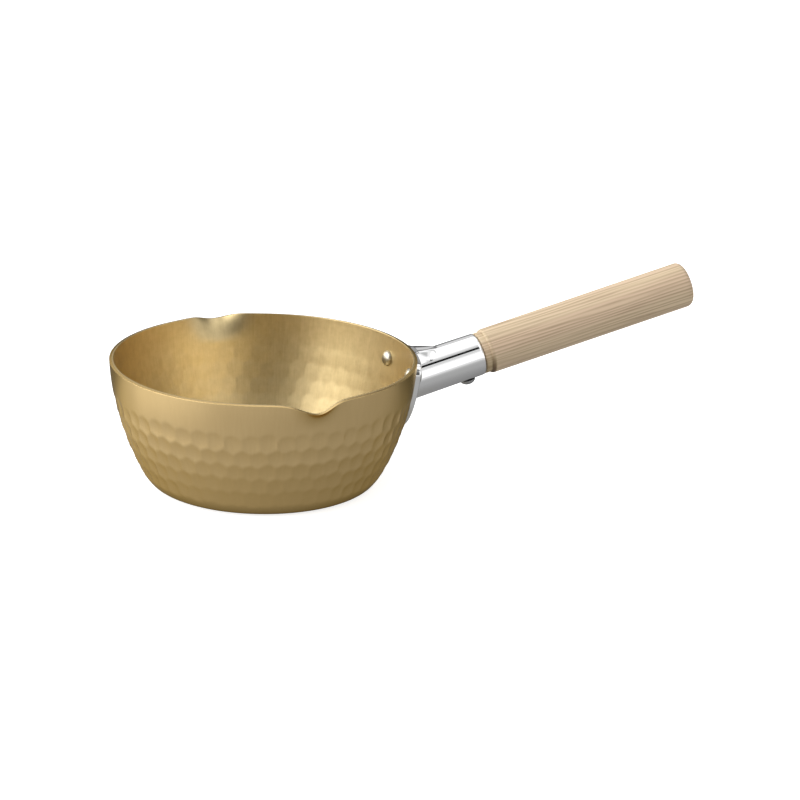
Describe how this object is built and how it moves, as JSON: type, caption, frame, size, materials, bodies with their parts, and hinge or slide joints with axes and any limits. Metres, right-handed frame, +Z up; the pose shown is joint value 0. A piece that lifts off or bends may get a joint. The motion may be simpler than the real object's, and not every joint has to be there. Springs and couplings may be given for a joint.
{
  "type": "yukihira pan",
  "caption": "Hammered gold-anodised aluminium saucepan with a pouring lip at each side, a polished riveted socket and a turned wooden handle.",
  "frame": {"origin": "middle of the bowl's flat base, on the surface that the pan stands on", "axes": "+X towards the end of the handle, +Z up, the pouring lips at +Y and -Y"},
  "size_m": [0.3724, 0.1994, 0.1128],
  "materials": {
    "gold_aluminium": "gold anodised, satin, hammered outside and inside",
    "polished_aluminium": "buffed casting, nearly a mirror",
    "rivet_aluminium": "bright pressed heads",
    "pale_wood": "fine sanded, straight open grain along the handle",
    "screw_steel": "bright stainless round head"
  },
  "bodies": {
    "root": {"pan_bowl": "gold_aluminium", "handle_socket": "polished_aluminium", "rivet_upper_left": "rivet_aluminium", "rivet_upper_right": "rivet_aluminium", "rivet_lower": "rivet_aluminium", "wooden_handle": "pale_wood", "handle_screw": "screw_steel"}
  },
  "joints": []
}
